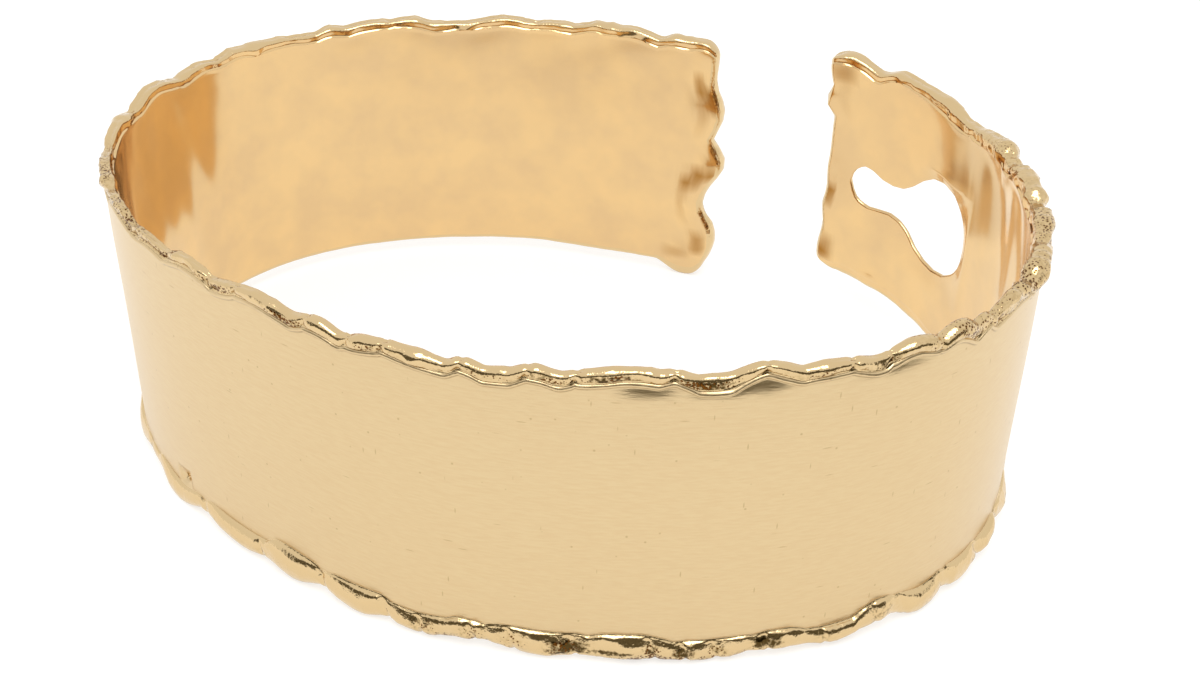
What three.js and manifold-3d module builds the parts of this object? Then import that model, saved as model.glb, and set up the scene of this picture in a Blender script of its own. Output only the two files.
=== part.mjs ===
// Cuff bracelet: one strip of heavy gold sheet bent into an open oval, with lumpy melted rims,
// two melted ends and one melted hole near its right end.
// Lengths are millimetres. The cuff stands on its lower rim, +Z runs across the strip, +X runs
// along the longer way across the wrist, and the gap between the ends is at the back right.
import * as THREE from "three";
import Module from "manifold-3d";

// Driving sizes of the bent sheet
const meanRadius = 25.9; // of the middle line of the sheet, seen from above
const gapAngle = 72.4; // degrees round from +X to the middle of the gap
const endGap = 9.0; // between the two end lines, along the middle line
const wall = 0.8; // thickness of the plain sheet
const lowerLine = 0.85; // height of the lower rim between its lumps
const upperLine = 19.55; // height of the upper rim between its lumps
const standTilt = 1.0; // degrees that the cuff leans to the front on its uneven lower rim
const rightEndClimb = 1.75; // how much narrower the strip is at its right end, from below
const climbStart = 0.86; // where that begins, as a share of the strip

// Driving sizes of the melted rims
const upperLump = 0.65; // how far a full lump stands above the upper line
const lowerLump = 0.58; // how far a full lump hangs below the lower line
const endLump = 0.9; // how far a full lump stands out of an end line
const upperSwell = 0.55; // thickening of the sheet at a full lump of the upper rim
const lowerSwell = 0.6; // the same along the lower rim
const endSwell = 0.6; // the same along the two ends
const plainSwell = 0.35; // share of the thickening that is left between lumps
const outwardShare = 0.4; // how far the thickening lies outward of the sheet's middle
const upperReach = 1.2; // depth of the upper rim's thick edge
const lowerReach = 1.9; // depth of the lower rim's thick edge
const endReach = 1.6; // depth of the thick edge at the ends
const rimRound = 0.62; // depth over which an edge rounds off
const endFade = 3.5; // distance over which an end's lumps die out along the strip

// Corner rounding of the strip
const leftTopCorner = 1.0;
const leftBottomCorner = 1.3;
const rightTopCorner = 0.5;
const rightBottomCorner = 1.2;

// Melted hole near the right end
const holeLength = 12.0;
const holeHeight = 6.9;
const holeFromEnd = 2.0; // from the right end line to the hole
const holeMiddle = 10.35; // height of its middle above the foot of the strip

// Pinhole just above the lower rim on the left of the front
const pinholeWide = 0.6;
const pinholeTall = 0.36;
const pinholeHeight = 2.2;
const pinholeAt = 0.43; // share of the strip, from its left end

// Mesh fineness
const fineStep = 0.85; // column spacing along the front
const coarseStep = 1.6; // column spacing elsewhere
const fineFrom = 0.4; // share of the strip where the front begins
const fineTo = 0.9;
const middleRows = 6; // net rows between the two thick rims
const planDivisions = 1440;
const holeSides = 40;
const pinholeSides = 10;

// Each row bends the plan oval: waves once round, and their size as shares of the mean radius.
const planWaves = [
  { count: 1, cosine: 0.006, sine: 0.0 },
  { count: 2, cosine: 0.135, sine: 0.027 },
  { count: 3, cosine: -0.018, sine: 0.012 },
  { count: 4, cosine: 0.0, sine: -0.006 },
  { count: 5, cosine: 0.002, sine: -0.011 },
  { count: 6, cosine: 0.004, sine: -0.005 },
  { count: 7, cosine: 0.002, sine: 0.004 },
];

// A row per lump of the upper rim. Place and length are shares of the strip from its left end,
// rise and swell are shares of a full lump.
const upperLumps = [
  { at: 0.009, long: 0.018, rise: 0.45, swell: 0.5 },
  { at: 0.021, long: 0.017, rise: 0.5, swell: 0.4 },
  { at: 0.042, long: 0.03, rise: 0.9, swell: 0.5 },
  { at: 0.06, long: 0.024, rise: 0.85, swell: 0.5 },
  { at: 0.08, long: 0.032, rise: 0.45, swell: 0.4 },
  { at: 0.106, long: 0.036, rise: 0.7, swell: 0.5 },
  { at: 0.151, long: 0.022, rise: 0.7, swell: 0.5 },
  { at: 0.17, long: 0.036, rise: 0.6, swell: 0.5 },
  { at: 0.19, long: 0.016, rise: 0.5, swell: 0.4 },
  { at: 0.222, long: 0.04, rise: 0.25, swell: 0.3 },
  { at: 0.241, long: 0.02, rise: 0.45, swell: 0.4 },
  { at: 0.262, long: 0.024, rise: 0.4, swell: 0.5 },
  { at: 0.294, long: 0.036, rise: 1.0, swell: 0.8 },
  { at: 0.329, long: 0.04, rise: 0.6, swell: 0.7 },
  { at: 0.366, long: 0.038, rise: 0.6, swell: 0.8 },
  { at: 0.4, long: 0.034, rise: 0.7, swell: 0.7 },
  { at: 0.428, long: 0.03, rise: 0.5, swell: 0.7 },
  { at: 0.454, long: 0.03, rise: 0.9, swell: 0.9 },
  { at: 0.49, long: 0.046, rise: 0.9, swell: 0.8 },
  { at: 0.518, long: 0.022, rise: 0.85, swell: 0.7 },
  { at: 0.547, long: 0.042, rise: 0.7, swell: 0.9 },
  { at: 0.573, long: 0.013, rise: 0.5, swell: 0.5 },
  { at: 0.596, long: 0.017, rise: 0.6, swell: 0.6 },
  { at: 0.623, long: 0.044, rise: 0.75, swell: 0.8 },
  { at: 0.642, long: 0.013, rise: 0.45, swell: 0.5 },
  { at: 0.67, long: 0.024, rise: 1.0, swell: 0.8 },
  { at: 0.691, long: 0.034, rise: 0.6, swell: 0.9 },
  { at: 0.723, long: 0.024, rise: 0.75, swell: 0.8 },
  { at: 0.741, long: 0.019, rise: 0.9, swell: 0.8 },
  { at: 0.755, long: 0.012, rise: 0.5, swell: 0.5 },
  { at: 0.774, long: 0.03, rise: 0.8, swell: 1.0 },
  { at: 0.803, long: 0.03, rise: 0.7, swell: 1.0 },
  { at: 0.832, long: 0.032, rise: 0.8, swell: 1.0 },
  { at: 0.866, long: 0.036, rise: 0.95, swell: 1.0 },
  { at: 0.896, long: 0.036, rise: 0.9, swell: 0.9 },
  { at: 0.953, long: 0.056, rise: 0.75, swell: 0.5 },
  { at: 0.968, long: 0.022, rise: 0.5, swell: 0.3 },
  { at: 0.992, long: 0.03, rise: 1.35, swell: 0.8 },
];

// The same for the lower rim, whose fullest lumps are worn flat where the cuff stands.
const lowerLumps = [
  { at: 0.011, long: 0.031, rise: 1.95, swell: 0.9 },
  { at: 0.1, long: 0.5, rise: 0.5, swell: 0.0 },
  { at: 0.062, long: 0.05, rise: 0.25, swell: 0.2 },
  { at: 0.278, long: 0.034, rise: 0.5, swell: 0.6 },
  { at: 0.31, long: 0.034, rise: 0.7, swell: 0.7 },
  { at: 0.342, long: 0.034, rise: 0.6, swell: 0.8 },
  { at: 0.375, long: 0.036, rise: 1.0, swell: 0.9 },
  { at: 0.424, long: 0.036, rise: 1.5, swell: 0.9 },
  { at: 0.467, long: 0.044, rise: 0.85, swell: 0.8 },
  { at: 0.496, long: 0.03, rise: 1.0, swell: 1.0 },
  { at: 0.527, long: 0.033, rise: 0.85, swell: 1.0 },
  { at: 0.553, long: 0.03, rise: 0.9, swell: 0.8 },
  { at: 0.57, long: 0.018, rise: 0.3, swell: 0.7 },
  { at: 0.598, long: 0.044, rise: 0.95, swell: 0.9 },
  { at: 0.629, long: 0.038, rise: 0.85, swell: 1.0 },
  { at: 0.656, long: 0.044, rise: 1.0, swell: 0.6 },
  { at: 0.682, long: 0.024, rise: 0.45, swell: 0.9 },
  { at: 0.703, long: 0.034, rise: 0.85, swell: 0.8 },
  { at: 0.721, long: 0.02, rise: 0.3, swell: 1.0 },
  { at: 0.742, long: 0.03, rise: 1.5, swell: 1.0 },
  { at: 0.765, long: 0.026, rise: 1.15, swell: 0.9 },
  { at: 0.786, long: 0.022, rise: 0.65, swell: 0.9 },
  { at: 0.812, long: 0.03, rise: 0.8, swell: 1.0 },
  { at: 0.843, long: 0.034, rise: 1.1, swell: 0.9 },
  { at: 0.876, long: 0.034, rise: 0.6, swell: 0.6 },
  { at: 0.945, long: 0.03, rise: 0.15, swell: 0.2 },
  { at: 0.975, long: 0.03, rise: 0.15, swell: 0.3 },
];

// A row per lump of an end line. Place and height are shares of the strip's width from below.
// A lump with a negative rise is a notch.
const leftEndLumps = [
  { at: 0.94, long: 0.16, rise: 0.1, swell: 0.5 },
  { at: 0.7, long: 0.24, rise: 0.8, swell: 1.0 },
  { at: 0.475, long: 0.22, rise: 1.1, swell: 1.0 },
  { at: 0.285, long: 0.18, rise: -0.6, swell: 0.0 },
  { at: 0.12, long: 0.24, rise: 0.65, swell: 1.0 },
];
const rightEndLumps = [
  { at: 1.0, long: 0.3, rise: 0.7, swell: 0.6 },
  { at: 0.84, long: 0.12, rise: 0.8, swell: 0.9 },
  { at: 0.55, long: 0.14, rise: 0.1, swell: 0.6 },
  { at: 0.38, long: 0.14, rise: 0.25, swell: 0.5 },
  { at: 0.18, long: 0.22, rise: 0.3, swell: 0.6 },
];

// A row per soft dent of the sheet: place along the strip, height as a share of the width,
// size as shares of both, and depth as a share of the wall, inward where positive.
const dents = [
  { at: 0.628, up: 0.9, long: 0.04, tall: 0.16, deep: 0.3 },
  { at: 0.655, up: 0.89, long: 0.034, tall: 0.14, deep: 0.3 },
  { at: 0.716, up: 0.9, long: 0.03, tall: 0.13, deep: 0.3 },
  { at: 0.33, up: 0.8, long: 0.05, tall: 0.4, deep: -0.5 },
  { at: 0.3, up: 0.35, long: 0.05, tall: 0.5, deep: 0.5 },
  { at: 0.86, up: 0.6, long: 0.05, tall: 0.5, deep: -0.5 },
];

// Outline of the melted hole, as shares of its length from its wide end and of its height from
// its middle: a wide lobe, a neck and a small lobe.
const holeOutline = [
  { along: 0.0, up: 0.02 },
  { along: 0.07, up: 0.34 },
  { along: 0.28, up: 0.5 },
  { along: 0.48, up: 0.37 },
  { along: 0.62, up: 0.17 },
  { along: 0.775, up: 0.16 },
  { along: 0.9, up: 0.24 },
  { along: 1.0, up: 0.04 },
  { along: 0.95, up: -0.16 },
  { along: 0.86, up: -0.21 },
  { along: 0.69, up: -0.18 },
  { along: 0.57, up: -0.25 },
  { along: 0.46, up: -0.42 },
  { along: 0.3, up: -0.5 },
  { along: 0.09, up: -0.37 },
];

// Middle line of the sheet seen from above: an oval that starts and ends in the middle of the gap.
class PlanLine extends THREE.Curve {
  getPoint(t, target = new THREE.Vector3()) {
    const angle = THREE.MathUtils.degToRad(gapAngle) + 2 * Math.PI * t;
    let share = 1;
    for (const wave of planWaves) {
      share += wave.cosine * Math.cos(wave.count * angle) + wave.sine * Math.sin(wave.count * angle);
    }
    const radius = meanRadius * share;
    return target.set(radius * Math.cos(angle), radius * Math.sin(angle), 0);
  }
}

const planLine = new PlanLine();
planLine.arcLengthDivisions = planDivisions;
const closedLength = planLine.getLength();
const stripLength = closedLength - endGap;

// Point of the bent sheet: s along the strip from its left end line, n outward of the middle line.
function onSheet(s, n, z) {
  const t = (endGap / 2 + s) / closedLength;
  const middle = planLine.getPointAt(t);
  const tangent = planLine.getTangentAt(t);
  const point = new THREE.Vector3(middle.x + tangent.y * n, middle.y - tangent.x * n, z);
  return point.applyAxisAngle(new THREE.Vector3(1, 0, 0), THREE.MathUtils.degToRad(standTilt));
}

// A point of the cuff's skin, worn flat where it would pass below the standing surface.
function wornFlat(point) {
  return point.setZ(Math.max(point.z, 0));
}

// Rounded hump that is 1 in the middle and 0 from one half length outward.
function hump(x) {
  return Math.abs(x) < 1 ? Math.pow(1 - x * x, 1.5) : 0;
}

// Sum of one column of a lump table at a place.
function lumpSum(lumps, place, column) {
  let sum = 0;
  for (const lump of lumps) {
    sum += lump[column] * hump((place - lump.at) / (0.5 * lump.long));
  }
  return sum;
}

// Quarter round of an edge: 0 at the edge and 1 from the rounding depth inward.
function edgeRound(distance, depth) {
  const left = 1 - Math.min(distance / depth, 1);
  return Math.sqrt(Math.max(0, 1 - left * left));
}

// How much of an edge's thickening is left at a distance from that edge.
function reachShare(distance, reach) {
  return 1 - THREE.MathUtils.smoothstep(distance, 0.5 * reach, 1.25 * reach);
}

// Drop of a rounded corner at a distance from the end line.
function cornerDrop(distance, radius) {
  return radius * (1 - edgeRound(distance, radius));
}

// Heights of the two rims at a place s along the strip.
function rimHeights(s) {
  const share = s / stripLength;
  const fromRight = stripLength - s;
  const climb = rightEndClimb * THREE.MathUtils.smoothstep(share, climbStart, 1);
  const upper = upperLine + upperLump * lumpSum(upperLumps, share, "rise")
    - cornerDrop(s, leftTopCorner) - cornerDrop(fromRight, rightTopCorner);
  const lower = lowerLine + climb - lowerLump * lumpSum(lowerLumps, share, "rise");
  const raised = cornerDrop(s, leftBottomCorner) + cornerDrop(fromRight, rightBottomCorner);
  return { upper, lower: lower + raised };
}

// Depth of the soft dents at a place, outward where positive.
function dentDepth(share, up) {
  let depth = 0;
  for (const dent of dents) {
    const across = hump((share - dent.at) / dent.long) * hump((up - dent.up) / dent.tall);
    depth -= wall * dent.deep * across;
  }
  return depth;
}

// Distances from an edge at which the net has its rows: close together round the edge.
function edgeRows(reach) {
  return [0, 0.12 * rimRound, 0.45 * rimRound, rimRound, 0.75 * reach, 1.25 * reach];
}

// Row heights from the lower to the upper rim.
function rowHeights(lower, upper) {
  const below = edgeRows(lowerReach).map((distance) => lower + distance);
  const above = edgeRows(upperReach).map((distance) => upper - distance).reverse();
  const from = below[below.length - 1];
  const to = above[0];
  const between = [];
  for (let row = 1; row <= middleRows; row += 1) {
    between.push(THREE.MathUtils.lerp(from, to, row / (middleRows + 1)));
  }
  return [...below, ...between, ...above];
}

// Places of the net's columns along the strip: fine along the front, coarse elsewhere.
function columnPlaces() {
  const nearEnd = edgeRows(endReach);
  const from = nearEnd[nearEnd.length - 1];
  const to = stripLength - from;
  const steps = [0];
  for (let s = from; s < to;) {
    const share = s / stripLength;
    const step = share > fineFrom && share < fineTo ? fineStep : coarseStep;
    steps.push(steps[steps.length - 1] + step);
    s += step;
  }
  const stretch = (to - from) / steps[steps.length - 1];
  const between = steps.slice(1, -1).map((step) => from + step * stretch);
  const farEnd = nearEnd.map((distance) => stripLength - distance).reverse();
  return [...nearEnd, ...between, ...farEnd];
}

// Outer and inner point of the sheet for one column and one row height.
function wallPoints(s, z, rims) {
  const share = s / stripLength;
  const fromRight = stripLength - s;
  const up = (z - lowerLine) / (upperLine - lowerLine);
  const fromTop = rims.upper - z;
  const fromBottom = z - rims.lower;
  const body = 1 - plainSwell;
  const upperThick = upperSwell * (plainSwell + body * lumpSum(upperLumps, share, "swell"));
  const lowerThick = lowerSwell * (plainSwell + body * lumpSum(lowerLumps, share, "swell"));
  const leftThick = endSwell * (plainSwell + body * lumpSum(leftEndLumps, up, "swell"));
  const rightThick = endSwell * (plainSwell + body * lumpSum(rightEndLumps, up, "swell"));
  const swell = Math.max(
    upperThick * reachShare(fromTop, upperReach),
    lowerThick * reachShare(fromBottom, lowerReach),
    leftThick * reachShare(s, endReach),
    rightThick * reachShare(fromRight, endReach),
  );
  const round = edgeRound(fromTop, rimRound) * edgeRound(fromBottom, rimRound)
    * edgeRound(s, rimRound) * edgeRound(fromRight, rimRound);
  const middle = outwardShare * swell + dentDepth(share, up);
  const half = round * (wall / 2 + (1 - outwardShare) * swell);
  const leftShift = endLump * lumpSum(leftEndLumps, up, "rise") * hump(s / endFade);
  const rightShift = endLump * lumpSum(rightEndLumps, up, "rise") * hump(fromRight / endFade);
  const place = s - leftShift + rightShift;
  return {
    outer: wornFlat(onSheet(place, middle + half, z)),
    inner: wornFlat(onSheet(place, middle - half, z)),
  };
}

// Closed net of the whole strip: an outer and an inner face that share the points of the rims.
function stripSolid() {
  const columns = columnPlaces();
  const net = columns.map((s) => {
    const rims = rimHeights(s);
    return rowHeights(rims.lower, rims.upper).map((z) => wallPoints(s, z, rims));
  });
  const lastColumn = net.length - 1;
  const lastRow = net[0].length - 1;
  const positions = [];
  const place = (point) => positions.push(point.x, point.y, point.z) / 3 - 1;
  const outer = net.map((column) => column.map((points) => place(points.outer)));
  const inner = net.map((column, i) => column.map((points, j) => {
    const onRim = i === 0 || j === 0 || i === lastColumn || j === lastRow;
    return onRim ? outer[i][j] : place(points.inner);
  }));
  const faces = [];
  for (let i = 0; i < lastColumn; i += 1) {
    for (let j = 0; j < lastRow; j += 1) {
      const [a, b, c, d] = [outer[i][j], outer[i + 1][j], outer[i + 1][j + 1], outer[i][j + 1]];
      faces.push(a, b, c, a, c, d);
      const [e, f, g, h] = [inner[i][j], inner[i][j + 1], inner[i + 1][j + 1], inner[i + 1][j]];
      faces.push(e, f, g, e, g, h);
    }
  }
  return { positions, faces };
}

// Closed cutter through the wall with an outline given as points (s, z).
function wallCutter(outline) {
  const sides = outline.length;
  const depth = 3 * wall;
  const positions = [];
  for (const n of [-depth, depth]) {
    for (const point of outline) {
      positions.push(...onSheet(point.x, n, point.y).toArray());
    }
  }
  const faces = [];
  for (let i = 0; i < sides; i += 1) {
    const next = (i + 1) % sides;
    faces.push(i, next, sides + next, i, sides + next, sides + i);
  }
  for (const [a, b, c] of THREE.ShapeUtils.triangulateShape(outline, [])) {
    faces.push(sides + a, sides + b, sides + c, a, c, b);
  }
  return { positions, faces };
}

// Outline of the melted hole, counter-clockwise seen from outside.
function meltedHoleOutline() {
  const from = stripLength - holeFromEnd - holeLength;
  const corners = holeOutline.map(
    (row) => new THREE.Vector3(from + row.along * holeLength, holeMiddle + row.up * holeHeight, 0),
  );
  const curve = new THREE.CatmullRomCurve3(corners.reverse(), true, "centripetal");
  const points = curve.getSpacedPoints(holeSides).slice(0, holeSides);
  return points.map((point) => new THREE.Vector2(point.x, point.y));
}

// Outline of the pinhole, an oval.
function pinholeOutline() {
  const outline = [];
  for (let i = 0; i < pinholeSides; i += 1) {
    const angle = (2 * Math.PI * i) / pinholeSides;
    const s = pinholeAt * stripLength + 0.5 * pinholeWide * Math.cos(angle);
    const z = pinholeHeight + 0.5 * pinholeTall * Math.sin(angle);
    outline.push(new THREE.Vector2(s, z));
  }
  return outline;
}

// Boolean cuts
const wasm = await Module();
wasm.setup();

function toManifold({ positions, faces }) {
  const vertProperties = new Float32Array(positions);
  const triVerts = new Uint32Array(faces);
  const mesh = new wasm.Mesh({ numProp: 3, vertProperties, triVerts });
  mesh.merge();
  return new wasm.Manifold(mesh);
}

function toGeometry(manifold) {
  const mesh = manifold.getMesh();
  const geometry = new THREE.BufferGeometry();
  geometry.setAttribute("position", new THREE.BufferAttribute(mesh.vertProperties, mesh.numProp));
  geometry.setIndex(new THREE.BufferAttribute(mesh.triVerts, 1));
  return geometry;
}

// Cuff band: the whole strip with its holes cut through, centred over its footprint.
function cuffBand() {
  const strip = toManifold(stripSolid());
  const pierced = strip
    .subtract(toManifold(wallCutter(meltedHoleOutline())))
    .subtract(toManifold(wallCutter(pinholeOutline())));
  const geometry = toGeometry(pierced);
  geometry.computeBoundingBox();
  const middle = geometry.boundingBox.getCenter(new THREE.Vector3());
  geometry.translate(-middle.x, -middle.y, -geometry.boundingBox.min.z);
  geometry.computeVertexNormals();
  const gold = new THREE.MeshStandardMaterial({ color: "#e6c48b", roughness: 0.28, metalness: 1 });
  const band = new THREE.Mesh(geometry, gold);
  band.name = "cuff_band";
  return band;
}

const group = new THREE.Group();
group.add(cuffBand());
export default group;
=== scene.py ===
# %% [markdown]
# # An open gold cuff with melted rims
# The real thing is one strip of heavy gold sheet. It was bent round an oval, and a torch then melted
# its edges until they drew up into beads and pillows. It is one piece of metal, so it is one mesh
# here too. We keep the goldsmith's order: first the sheet, then the rims, then the holes, then the
# finish. Every length of the cuff is in millimetres until its mesh is handed to Blender.

import math

import bpy
import numpy as np
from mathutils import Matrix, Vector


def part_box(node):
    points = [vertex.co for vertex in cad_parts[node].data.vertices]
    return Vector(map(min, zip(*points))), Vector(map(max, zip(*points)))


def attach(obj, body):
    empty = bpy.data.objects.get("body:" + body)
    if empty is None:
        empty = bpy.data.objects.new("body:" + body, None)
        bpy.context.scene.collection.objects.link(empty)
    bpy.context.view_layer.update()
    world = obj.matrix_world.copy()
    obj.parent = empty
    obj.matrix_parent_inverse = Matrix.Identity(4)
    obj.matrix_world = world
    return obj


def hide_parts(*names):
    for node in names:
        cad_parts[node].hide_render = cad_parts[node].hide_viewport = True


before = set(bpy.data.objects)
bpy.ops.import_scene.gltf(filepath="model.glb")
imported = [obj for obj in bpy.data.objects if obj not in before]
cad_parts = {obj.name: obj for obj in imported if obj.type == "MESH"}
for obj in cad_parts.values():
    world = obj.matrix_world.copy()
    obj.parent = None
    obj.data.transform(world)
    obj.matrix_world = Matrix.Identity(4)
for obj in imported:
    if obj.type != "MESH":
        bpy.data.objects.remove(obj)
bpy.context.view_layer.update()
MM = 0.001

# %% [markdown]
# ## The oval
# A jeweller bends the strip over an oval mandrel. Seen from above its middle line is a circle whose
# radius swells and shrinks a few times per turn. We write it as a sum of waves, because a handful of
# numbers then gives a smooth line without a single corner, and polished metal shows every corner.

# %% The oval seen from above
MEAN_RADIUS = 25.9  # middle line of the sheet
GAP_ANGLE = 72.4  # degrees from +X to the middle of the gap
END_GAP = 9.0  # between the two end lines, along the middle line
WALL = 0.8  # thickness of the plain sheet
PLAN_STEPS = 16384

# count, cosine, sine: waves once round, and their size as shares of the mean radius
PLAN_WAVES = [
    (1, 0.006, 0.0),
    (2, 0.135, 0.027),
    (3, -0.018, 0.012),
    (4, 0.0, -0.006),
    (5, 0.002, -0.011),
    (6, 0.004, -0.005),
    (7, 0.002, 0.004),
]


def oval(angle):
    """Radius and its slope at an angle: mean radius times one plus the sum of the waves."""
    share, slope = np.ones_like(angle), np.zeros_like(angle)
    for count, cosine, sine in PLAN_WAVES:
        share += cosine * np.cos(count * angle) + sine * np.sin(count * angle)
        slope += count * (sine * np.cos(count * angle) - cosine * np.sin(count * angle))
    return MEAN_RADIUS * share, MEAN_RADIUS * slope


plan_angle = math.radians(GAP_ANGLE) + 2 * math.pi * np.linspace(0, 1, PLAN_STEPS + 1)
plan_radius, _ = oval(plan_angle)
steps = np.hypot(
    np.diff(plan_radius * np.cos(plan_angle)), np.diff(plan_radius * np.sin(plan_angle))
)
plan_arc = np.concatenate([[0.0], np.cumsum(steps)])
STRIP = plan_arc[-1] - END_GAP
print(f"strip {STRIP:.2f} mm long, bent from {plan_arc[-1]:.2f} mm of oval")

# %% [markdown]
# ## From a flat strip to the wrist
# It is easiest to shape a melted rim while the strip lies flat, so a point is written as a place s
# along it, a height z and an offset n outward. One function bends such points round the oval. The
# cuff rocks a little on its uneven rim, so the bent strip is also tipped by one degree.

# %% Bending the strip
STAND_TILT = 1.0  # degrees that the cuff leans to the front


def bend(s, n, z):
    """Point at arc length s on the oval, moved n along its outward normal, then tipped about X."""
    angle = np.interp(END_GAP / 2 + s, plan_arc, plan_angle)
    radius, slope = oval(angle)
    cos, sin = np.cos(angle), np.sin(angle)
    tangent_x, tangent_y = slope * cos - radius * sin, slope * sin + radius * cos
    length = np.hypot(tangent_x, tangent_y)
    x = radius * cos + n * tangent_y / length
    y = radius * sin - n * tangent_x / length
    tilt = math.radians(STAND_TILT)
    tipped = y * math.cos(tilt) - z * math.sin(tilt)
    height = y * math.sin(tilt) + z * math.cos(tilt)
    return np.stack(np.broadcast_arrays(x, tipped, height), axis=-1)


# %% [markdown]
# ## Where the metal drew up
# Melted gold gathers into lumps. Each one is a row of a short table: where it sits and how long it
# is, as shares of the strip, then how far it rises out of the edge and how fat it is. The same hump
# is used for all of them, so a new lump costs one row and no new code.

# %% Lumps of the rims and the ends
LOWER_LINE, UPPER_LINE = 0.85, 19.55  # heights of the two rims between their lumps
RIGHT_CLIMB, CLIMB_START = 1.75, 0.86  # the strip narrows from below towards its right end
UPPER_LUMP, LOWER_LUMP, END_LUMP = 0.65, 0.58, 0.9  # how far a full lump stands out of its edge


def columns(names, rows):
    """A table as one array per named column."""
    return dict(zip(names.split(), np.array(rows, float).T))


upper_lumps = columns("at long rise swell", [
    (0.009, 0.018, 0.45, 0.5), (0.021, 0.017, 0.5, 0.4), (0.042, 0.03, 0.9, 0.5),
    (0.06, 0.024, 0.85, 0.5), (0.08, 0.032, 0.45, 0.4), (0.106, 0.036, 0.7, 0.5),
    (0.151, 0.022, 0.7, 0.5), (0.17, 0.036, 0.6, 0.5), (0.19, 0.016, 0.5, 0.4),
    (0.222, 0.04, 0.25, 0.3), (0.241, 0.02, 0.45, 0.4), (0.262, 0.024, 0.4, 0.5),
    (0.294, 0.036, 1.0, 0.8), (0.329, 0.04, 0.6, 0.7), (0.366, 0.038, 0.6, 0.8),
    (0.4, 0.034, 0.7, 0.7), (0.428, 0.03, 0.5, 0.7), (0.454, 0.03, 0.9, 0.9),
    (0.49, 0.046, 0.9, 0.8), (0.518, 0.022, 0.85, 0.7), (0.547, 0.042, 0.7, 0.9),
    (0.573, 0.013, 0.5, 0.5), (0.596, 0.017, 0.6, 0.6), (0.623, 0.044, 0.75, 0.8),
    (0.642, 0.013, 0.45, 0.5), (0.67, 0.024, 1.0, 0.8), (0.691, 0.034, 0.6, 0.9),
    (0.723, 0.024, 0.75, 0.8), (0.741, 0.019, 0.9, 0.8), (0.755, 0.012, 0.5, 0.5),
    (0.774, 0.03, 0.8, 1.0), (0.803, 0.03, 0.7, 1.0), (0.832, 0.032, 0.8, 1.0),
    (0.866, 0.036, 0.95, 1.0), (0.896, 0.036, 0.9, 0.9), (0.953, 0.056, 0.75, 0.5),
    (0.968, 0.022, 0.5, 0.3), (0.992, 0.03, 1.35, 0.8),
])
# tall is the height of the pillow that the lump makes on the outer face
lower_lumps = columns("at long rise swell tall", [
    (0.011, 0.031, 1.95, 0.9, 1.9), (0.1, 0.5, 0.5, 0.0, 0.9), (0.062, 0.05, 0.25, 0.2, 1.1),
    (0.278, 0.034, 0.5, 0.6, 1.1), (0.31, 0.034, 0.7, 0.7, 1.2), (0.342, 0.034, 0.6, 0.8, 1.2),
    (0.375, 0.036, 1.0, 0.9, 1.4), (0.424, 0.036, 1.5, 0.9, 1.6), (0.467, 0.044, 0.85, 0.8, 1.6),
    (0.496, 0.03, 1.0, 1.0, 2.3), (0.527, 0.033, 0.85, 1.0, 1.9), (0.553, 0.03, 0.9, 0.8, 1.5),
    (0.57, 0.018, 0.3, 0.7, 1.6), (0.598, 0.044, 0.95, 0.9, 1.85), (0.629, 0.038, 0.85, 1.0, 1.85),
    (0.656, 0.044, 1.0, 0.6, 1.5), (0.682, 0.024, 0.45, 0.9, 1.45), (0.703, 0.034, 0.85, 0.8, 1.2),
    (0.721, 0.02, 0.3, 1.0, 1.7), (0.742, 0.03, 1.5, 1.0, 1.9), (0.765, 0.026, 1.15, 0.9, 1.8),
    (0.786, 0.022, 0.65, 0.9, 1.5), (0.812, 0.03, 0.8, 1.0, 1.7), (0.843, 0.034, 1.1, 0.9, 1.8),
    (0.876, 0.034, 0.6, 0.6, 1.5), (0.945, 0.03, 0.15, 0.2, 1.0), (0.975, 0.03, 0.15, 0.3, 1.0),
])
# at and long of an end lump are shares of the strip's width from below; a minus sign is a notch
left_end_lumps = columns("at long rise swell", [
    (0.94, 0.16, 0.1, 0.5), (0.7, 0.24, 0.8, 1.0), (0.475, 0.22, 1.1, 1.0),
    (0.285, 0.18, -0.6, 0.0), (0.12, 0.24, 0.65, 1.0),
])
right_end_lumps = columns("at long rise swell", [
    (1.0, 0.3, 0.7, 0.6), (0.84, 0.12, 0.8, 0.9), (0.55, 0.14, 0.1, 0.6),
    (0.38, 0.14, 0.25, 0.5), (0.18, 0.22, 0.3, 0.6),
])
print("lumps:", len(upper_lumps["at"]), "on the upper rim,", len(lower_lumps["at"]), "on the lower")


# %% [markdown]
# ## A few curves for every lump
# Lumps, dents and stains all grow softly out of nothing and go back to nothing. So a small family
# of curves does for all of them: a hump, a smooth step, a plateau, a quarter ellipse for a rounded
# edge, and a ripple for what no two places have alike. Each takes whole arrays, as numpy likes it.

# %% Humps, steps and ripples
def hump(x, power=1.5):
    """One at x = 0 and zero from |x| = 1 outward: (1 - x squared) to a power."""
    return np.clip(1 - x * x, 0, None) ** power


def lump_sum(lumps, place, column):
    """Sum over the lumps of a column's value times the hump at that place."""
    across = (np.asarray(place)[..., None] - lumps["at"]) / (0.5 * lumps["long"])
    return (lumps[column] * hump(across)).sum(-1)


def smoothstep(x, start, end):
    """Zero before start, one after end, and 3t^2 - 2t^3 in between."""
    t = np.clip((x - start) / (end - start), 0, 1)
    return t * t * (3 - 2 * t)


def plateau(x, start, full, fading, end):
    """Zero before start and after end, one from full to fading: a smooth step up, times one down."""
    return smoothstep(x, start, full) * (1 - smoothstep(x, fading, end))


def edge_round(distance, depth):
    """Quarter ellipse: zero at the edge, one from the rounding depth inward."""
    left = 1 - np.clip(distance / depth, 0, 1)
    return np.sqrt(np.clip(1 - left * left, 0, None))


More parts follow.
